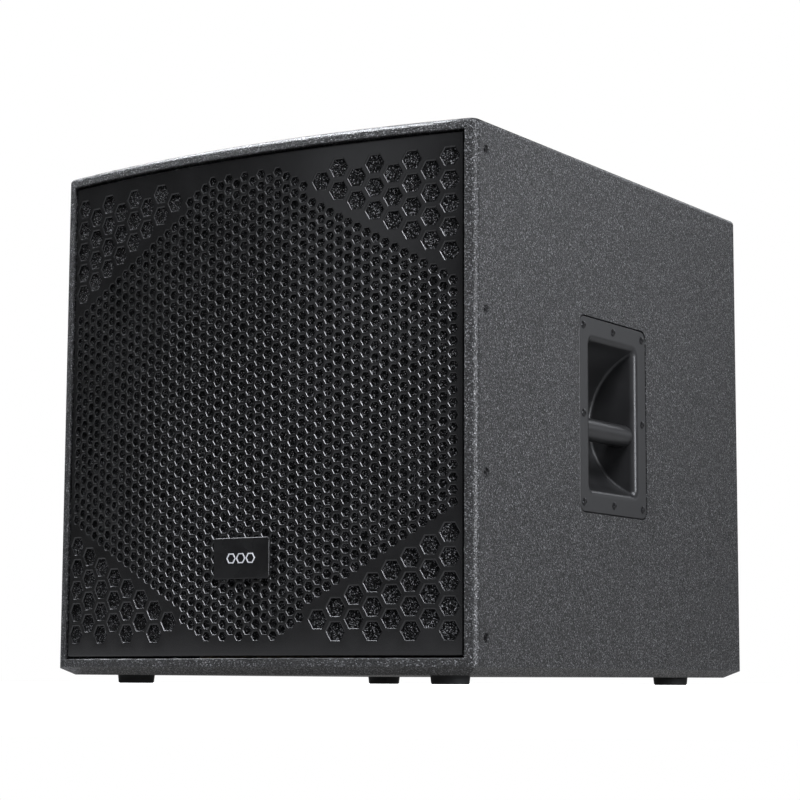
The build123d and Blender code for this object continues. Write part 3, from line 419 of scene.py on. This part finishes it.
def new_piece(name, vertices, faces, material, smooth=SOFT_CREASE, body="cabinet"):
    """A mesh that rides on a body, if one is given, and is smooth apart from its creases."""
    mesh = bpy.data.meshes.new(name)
    mesh.from_pydata(vertices, [], faces)
    close_up(mesh)
    mesh.shade_smooth()
    mesh.set_sharp_from_angle(angle=smooth)
    mesh.materials.append(material)
    piece = bpy.data.objects.new(name, mesh)
    bpy.context.scene.collection.objects.link(piece)
    if body:
        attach(piece, body)
    return piece


def on_bow(along, up, depth):
    """The point at an arc length and a height on the grille's face, and at a depth behind it."""
    turn = along / SHEET_R
    reach = SHEET_R - depth
    return (reach * math.sin(turn), ARC_Y - reach * math.cos(turn), GRILLE_Z + up)


def small_holes():
    """Arc length and height of each small hole: a clipped hexagonal field in the middle."""
    centres = []
    for column in range(-SMALL_COLUMNS, SMALL_COLUMNS + 1):
        side = abs(column)
        climb = (SMALL_COLUMNS - side) * SMALL_PITCH / 2
        if side < INNER_COLUMNS:
            reach = min(FIELD_TOP, INNER_REACH + climb)
        else:
            reach = OUTER_REACH + climb
        shift = 0.0 if column % 2 else 0.5
        for row in range(-SMALL_ROWS, SMALL_ROWS):
            up = (row + shift) * SMALL_PITCH
            if abs(up) <= reach + HOLE_SLACK:
                centres.append((column * SMALL_PITCH * COLUMN, up, SMALL_HOLE))
    return centres


def large_holes():
    """Arc length and height of each large hole: a triangle of them in each corner."""
    centres = []
    for column, count in enumerate(LARGE_COLUMNS):
        along = LARGE_ARC - column * LARGE_PITCH * COLUMN
        first = LARGE_FIRST - LARGE_PITCH / 2 * (column % 2)
        for row in range(count):
            up = first - LARGE_PITCH * row
            centres += [(x * along, z * up, LARGE_HOLE) for x in (-1, 1) for z in (-1, 1)]
    return centres


def hexagon(hole, inset=0.0):
    """The corners of a hole, flats up and down, at some distance in from its edge on the face."""
    radius = (hole[2][0] - 2 * inset) / math.sqrt(3)
    angles = [math.radians(60 * n) for n in range(6)]
    return [(hole[0] + radius * math.cos(a), hole[1] + radius * math.sin(a)) for a in angles]


def rim_points():
    """Points round the flat part of the sheet, corner to corner, and each one's outward signs."""
    edge_along = SHEET_R * math.asin(GRILLE_HIGH.x / SHEET_R) - BEND
    edge_up = (GRILLE_HIGH.z - GRILLE_LOW.z) / 2 - BEND
    across = np.linspace(-edge_along, edge_along, RIM_ACROSS)
    upward = np.linspace(-edge_up, edge_up, RIM_UP)
    points = [(a, -edge_up, 0, -1) for a in across[1:-1]]
    points = [(-edge_along, -edge_up, -1, -1)] + points + [(edge_along, -edge_up, 1, -1)]
    points += [(edge_along, u, 1, 0) for u in upward[1:-1]] + [(edge_along, edge_up, 1, 1)]
    points += [(a, edge_up, 0, 1) for a in across[-2:0:-1]] + [(-edge_along, edge_up, -1, 1)]
    points += [(-edge_along, u, -1, 0) for u in upward[-2:0:-1]]
    return points


def rim_place(point, angle, back, radius):
    """Where a rim point goes after a bend by some angle and a straight run back."""
    along, up, out_x, out_z = point
    turn = along / SHEET_R
    outward = Vector((math.sin(turn), -math.cos(turn), 0))
    sideways = Vector((math.cos(turn), math.sin(turn), 0)) * out_x + Vector((0, 0, out_z))
    centre = Vector(on_bow(along, up, 0)) - outward * BEND
    place = centre + outward * (radius * math.cos(angle)) + sideways * (radius * math.sin(angle))
    return place + Vector((0, back, 0))


def grille_piece(material):
    """One pressed sheet: about 1500 hexagonal holes with rolled edges, bent back all round."""
    holes = small_holes() + large_holes()
    rim = rim_points()
    flat, ties = [], []
    for hole in holes:
        first = len(flat)
        flat += hexagon(hole)
        ties += [(first + n, first + (n + 1) % 6) for n in range(6)]
    hole_points = len(flat)
    flat += [(p[0], p[1]) for p in rim]
    ties += [(hole_points + n, hole_points + (n + 1) % len(rim)) for n in range(len(rim))]
    result = delaunay_2d_cdt([Vector(p) for p in flat], ties, [], 1, 1e-7)
    source = [found[0] for found in result[3]]
    triangles = []
    for triangle in result[2]:
        corners = [source[v] for v in triangle]
        owners = {c // 6 if c < hole_points else -1 for c in corners}
        if len(owners) > 1 or -1 in owners:
            triangles.append(corners)
    vertices = [on_bow(a, u, 0) for a, u in flat]
    rings = [0]
    for angle in ROLL_ANGLES:
        inward, deep = math.sin(math.radians(angle)), 1 - math.cos(math.radians(angle))
        rings.append(len(vertices))
        for hole in holes:
            roll = hole[2][1]
            vertices += [on_bow(a, u, roll * deep) for a, u in hexagon(hole, roll * inward)]
    back = len(vertices)
    rings.append(back)
    vertices += [on_bow(a, u, SHEET) for hole in holes for a, u in hexagon(hole, hole[2][1])]
    vertices += [tuple(rim_place(p, 0, 0, BEND - SHEET)) for p in rim]
    faces = [tuple(t) for t in triangles] + [tuple(back + v for v in reversed(t)) for t in triangles]
    for hole in range(len(holes)):
        for n in range(6):
            a, b = hole * 6 + n, hole * 6 + (n + 1) % 6
            for upper, lower in zip(rings, rings[1:]):
                faces.append((upper + b, upper + a, lower + a, lower + b))
    front_ring = list(range(hole_points, hole_points + len(rim)))
    back_ring = [back + v for v in front_ring]
    for radius, ring in ((BEND, front_ring), (BEND - SHEET, back_ring)):
        for step in range(1, BEND_STEPS + 2):
            share = min(step, BEND_STEPS) / BEND_STEPS
            first = len(vertices)
            for p in rim:
                full = math.pi / 2 - abs(p[0] / SHEET_R) if p[2] else math.pi / 2
                run = (SIDE_RETURN if p[2] else TOP_RETURN) if step > BEND_STEPS else 0.0
                vertices.append(tuple(rim_place(p, full * share, run, radius)))
            after = list(range(first, first + len(rim)))
            for n in range(len(rim)):
                m = (n + 1) % len(rim)
                quad = (ring[n], ring[m], after[m], after[n])
                faces.append(quad if radius < BEND else tuple(reversed(quad)))
            ring = after
        if radius == BEND:
            front_ring = ring
        else:
            back_ring = ring
    for n in range(len(rim)):
        m = (n + 1) % len(rim)
        faces.append((front_ring[n], front_ring[m], back_ring[m], back_ring[n]))
    return new_piece("hexagon_grille", vertices, faces, material, FACET)


def foam_piece(material):
    """Foam behind the grille, its face rough from its open cells."""
    low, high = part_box("grille_foam")
    radius = BOW_R - (low.y - FRONT_Y)
    edge = radius * math.asin(high.x / radius)
    columns, rows = FOAM_COLUMNS, FOAM_ROWS
    along = np.linspace(-edge, edge, columns)
    up = np.linspace(low.z, high.z, rows)
    rough = np.random.default_rng(18).random((columns, rows))
    rough = (rough + np.roll(rough, 1, 0) + np.roll(rough, 1, 1) + np.roll(rough, (1, 1), (0, 1))) / 4
    depth = FOAM_LEAST + FOAM_ROUGH * rough
    turn = along / radius
    turns = turn[:, None]
    reach = radius - depth
    heights = np.broadcast_to(up, depth.shape)
    front = np.stack([reach * np.sin(turns), ARC_Y - reach * np.cos(turns), heights], -1)
    inner = radius - FOAM_THICK
    back = np.stack([inner * np.sin(turn), ARC_Y - inner * np.cos(turn)], -1)
    vertices = front.reshape(-1, 3).tolist()
    low_back = len(vertices)
    vertices += [(x, y, low.z) for x, y in back]
    high_back = len(vertices)
    vertices += [(x, y, high.z) for x, y in back]
    faces = []
    for c in range(columns - 1):
        for r in range(rows - 1):
            v = c * rows + r
            faces.append((v, v + rows, v + rows + 1, v + 1))
        start, end = c * rows, c * rows + rows - 1
        faces.append((start + rows, start, low_back + c, low_back + c + 1))
        faces.append((end, end + rows, high_back + c + 1, high_back + c))
        faces.append((low_back + c + 1, low_back + c, high_back + c, high_back + c + 1))
    for column, flip in ((0, False), (columns - 1, True)):
        side = [column * rows + r for r in range(rows)] + [high_back + column, low_back + column]
        faces.append(tuple(side) if not flip else tuple(reversed(side)))
    return new_piece("foam_sheet", vertices, faces, material, math.radians(180))


def ring_profile(ring):
    """Radius and depth along the front of a rolled ring, from its inner lip to its outer one."""
    steps = ring.rolls * ROLL_STEPS
    run = [(ring.inner - ring.inner_lip, 0.0)]
    for n in range(steps + 1):
        share = n / steps
        radius = ring.inner + (ring.outer - ring.inner) * share
        run.append((radius, -ring.rise * math.sin(math.pi * ring.rolls * share)))
    return run + [(ring.outer + ring.outer_lip, 0.0)]


def flexible_ring(name, node, ring, material):
    """A rolled ring in wedges, each a separate piece spanning from the fixed rim to the cone."""
    low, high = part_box(node)
    front = low.y + ring.rise
    middle = (low.z + high.z) / 2
    profile = ring_profile(ring)
    loop = profile + [(r, y + ring.thick) for r, y in reversed(profile)]
    count = len(loop)
    last = WEDGE_STEPS * count
    for wedge in range(ring.wedges):
        heading = 2 * math.pi * wedge / ring.wedges
        vertices, faces = [], []
        for step in range(WEDGE_STEPS + 1):
            a = heading + math.pi / ring.wedges * (2 * step / WEDGE_STEPS - 1)
            vertices += [(r * math.cos(a), front + y, middle + r * math.sin(a)) for r, y in loop]
        for step in range(WEDGE_STEPS):
            v = step * count
            for n in range(count):
                m = (n + 1) % count
                faces.append((v + n, v + m, v + count + m, v + count + n))
        for n in range(len(profile) - 1):
            behind = count - 1 - n      # the point at the back that faces point n of the front
            faces.append((n + 1, n, behind, behind - 1))
            faces.append((last + n, last + n + 1, last + behind - 1, last + behind))
        piece = new_piece(f"{name}_{wedge + 1}", vertices, faces, material, body=None)
        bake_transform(piece)
        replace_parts(piece, node)


def flexible_leads():
    """The driver's two leads, from the terminal block to the cone, as one welded copy of the CAD node."""
    source = nodes["tinsel_leads"]
    piece = bpy.data.objects.new("flexible_leads", source.data.copy())
    close_up(piece.data)
    piece.matrix_world = source.matrix_world
    bpy.context.scene.collection.objects.link(piece)
    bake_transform(piece)
    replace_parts(piece, "tinsel_leads")


# Camera, light and floor

def stand_camera():
    """A long lens, low down and to the right of the front."""
    turn, tilt, roll = CAMERA_TURN, CAMERA_TILT, CAMERA_ROLL
    ahead = Vector((-math.sin(turn) * math.cos(tilt), math.cos(turn) * math.cos(tilt), math.sin(tilt)))
    level = Vector((math.cos(turn), math.sin(turn), 0))
    above = level.cross(ahead)
    right = math.cos(roll) * level + math.sin(roll) * above
    up = math.cos(roll) * above - math.sin(roll) * level
    lens = bpy.data.cameras.new("camera")
    lens.lens = CAMERA_LENS
    lens.sensor_width = 36.0
    lens.clip_start = 0.05
    lens.clip_end = 100.0
    camera = bpy.data.objects.new("camera", lens)
    place = Vector((CAMERA_RIGHT, FRONT_Y + BOW - CAMERA_FORWARD, CAMERA_UP))
    aim = Matrix((right, up, -ahead)).transposed().to_4x4()
    camera.matrix_world = Matrix.Translation(place) @ aim
    bpy.context.scene.collection.objects.link(camera)
    bpy.context.scene.camera = camera


def area_light(name, place, aim, size, power):
    """A soft box at a place, turned to face another."""
    light = bpy.data.lights.new(name, "AREA")
    light.shape = "RECTANGLE"
    light.size, light.size_y = size
    light.energy = power
    light.color = LIGHT_TINT
    holder = bpy.data.objects.new(name, light)
    holder.location = place
    holder.rotation_euler = (Vector(aim) - Vector(place)).to_track_quat("-Z", "Y").to_euler()
    bpy.context.scene.collection.objects.link(holder)


def studio():
    """Soft boxes above, at the right, behind and in front, in a room that only looks white."""
    world = bpy.data.worlds.new("studio")
    bpy.context.scene.world = world
    world.use_nodes = True
    tree = world.node_tree
    seen = tree.nodes["Background"]
    seen.inputs["Color"].default_value = WHITE
    seen.inputs["Strength"].default_value = 1.0
    lit = tree.nodes.new("ShaderNodeBackground")
    lit.inputs["Color"].default_value = WHITE
    lit.inputs["Strength"].default_value = 0.05
    path = tree.nodes.new("ShaderNodeLightPath")
    choose = tree.nodes.new("ShaderNodeMixShader")
    tree.links.new(path.outputs["Is Camera Ray"], choose.inputs["Fac"])
    tree.links.new(lit.outputs["Background"], choose.inputs[1])
    tree.links.new(seen.outputs["Background"], choose.inputs[2])
    tree.links.new(choose.outputs["Shader"], tree.nodes["World Output"].inputs["Surface"])
    area_light("overhead", (-1.4, -0.5, 2.4), (0.0, -0.3, 0.3), (1.4, 1.0), 100)
    area_light("right_high", (1.8, -1.5, 2.5), (0.0, -0.3, 0.3), (2.4, 0.5), 98)
    area_light("right", (3.0, -0.8, 0.35), (0.2, -0.3, 0.3), (0.6, 1.3), 58)
    area_light("right_rear", (2.0, 2.3, 1.0), (0.2, 0.1, 0.3), (1.2, 1.4), 5)
    area_light("rear_high", (0.5, 2.8, 1.9), (0.2, 0.1, 0.3), (1.2, 0.8), 6)
    area_light("front_left", (-0.9, -3.0, 1.15), (0.1, -0.3, 0.4), (0.9, 0.9), 1.1)


def lay_floor():
    """A floor that the camera sees pale, and that throws little light up on the cabinet."""
    m = Nodes("floor")
    cloud = m.noise(0.8, 2.0, 0.5)
    pale = m.ramp(cloud, [(0.3, (0.90, 0.90, 0.90)), (0.7, (0.93, 0.93, 0.93))])
    path = m.add("ShaderNodeLightPath")
    seen, mirrored = path.outputs["Is Camera Ray"], path.outputs["Is Glossy Ray"]
    material = m.finish(m.mix(seen, grey(0.16), pale), 0.6)
    m.shader.inputs["Emission Color"].default_value = WHITE
    glow = m.math("ADD", m.math("MULTIPLY", seen, 0.9), m.math("MULTIPLY", mirrored, 0.2))
    m.link(glow, m.shader.inputs["Emission Strength"])
    signs = ((-1, -1), (1, -1), (1, 1), (-1, 1))
    corners = [(x * FLOOR_HALF, y * FLOOR_HALF, 0) for x, y in signs]
    mesh = bpy.data.meshes.new("floor")
    mesh.from_pydata(corners, [], [(0, 1, 2, 3)])
    mesh.materials.append(material)
    floor = bpy.data.objects.new("floor", mesh)
    bpy.context.scene.collection.objects.link(floor)


def dress_nodes():
    """Gives every CAD node the material of its slot, and returns the materials by slot."""
    finishes = {
        "textured_coating": coating(),
        "raw_plywood": plywood(),
        "wadding": felt(),
        "grille_steel": powder_coat(),
        "acoustic_foam": open_foam(),
        "black_fasteners": painted_screw("black_fasteners", 0.05, 0.22),
        "zinc_steel": metal("zinc_steel", (0.62, 0.61, 0.58), 0.32),
        "bright_screws": painted_screw("bright_screws", 0.05, 0.14),
        "badge_black": moulded("badge_black", 0.012, 0.6 * MM, 0.01 * MM, 0.22, 0.32),
        "badge_white": moulded("badge_white", 0.75, 0.6 * MM, 0.01 * MM, 0.3, 0.4),
        "handle_plastic": moulded("handle_plastic", 0.02, 0.5 * MM, 0.03 * MM, 0.30, 0.38),
        "gasket_foam": rubber("gasket_foam", 0.022),
        "foot_rubber": rubber("foot_rubber"),
        "pole_cup_metal": moulded("pole_cup_metal", 0.03, 0.7 * MM, 0.04 * MM, 0.38, 0.5),
        "dish_plastic": moulded("dish_plastic", 0.03, 0.8 * MM, 0.08 * MM, 0.45, 0.6),
        "socket_plastic": moulded("socket_plastic", 0.02, 0.6 * MM, 0.02 * MM, 0.28, 0.4),
        "contact_metal": metal("contact_metal", (0.80, 0.66, 0.40), 0.3),
        "board": laminate(),
        "standoff_metal": metal("standoff_metal", (0.78, 0.60, 0.32), 0.35),
        "copper_wire": winding("copper_wire", (0.75, 0.34, 0.16)),
        "capacitor_film": moulded("capacitor_film", 0.25, 1.0 * MM, 0.03 * MM, 0.25, 0.35),
        "cable_jacket": rubber("cable_jacket", 0.03),
        "cast_basket": moulded("cast_basket", 0.035, 0.9 * MM, 0.06 * MM, 0.4, 0.55),
        "motor_steel": moulded("motor_steel", 0.05, 0.8 * MM, 0.04 * MM, 0.35, 0.5),
        "ferrite": moulded("ferrite", 0.06, 1.1 * MM, 0.08 * MM, 0.55, 0.7),
        "treated_cloth": woven("treated_cloth", grey(0.05), grey(0.02)),
        "spider_cloth": woven("spider_cloth", (0.62, 0.46, 0.18), (0.40, 0.28, 0.10)),
        "cone_paper": paper(),
        "former_film": winding("former_film", (0.55, 0.34, 0.10)),
        "tinsel": metal("tinsel", (0.78, 0.62, 0.36), 0.35),
    }
    for part in frame["record"]["subparts"]:
        piece = nodes[part["node"]]
        piece.data.materials.clear()
        piece.data.materials.append(finishes[part["material_slot"]])
    return finishes


stand_camera()
studio()
lay_floor()
finishes = dress_nodes()
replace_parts(grille_piece(finishes["grille_steel"]), "grille")
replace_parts(foam_piece(finishes["acoustic_foam"]), "grille_foam")
flexible_ring("surround", "driver_surround", SURROUND, finishes["treated_cloth"])
flexible_ring("spider", "driver_spider", SPIDER, finishes["spider_cloth"])
flexible_leads()
bpy.context.scene.view_settings.view_transform = "Standard"
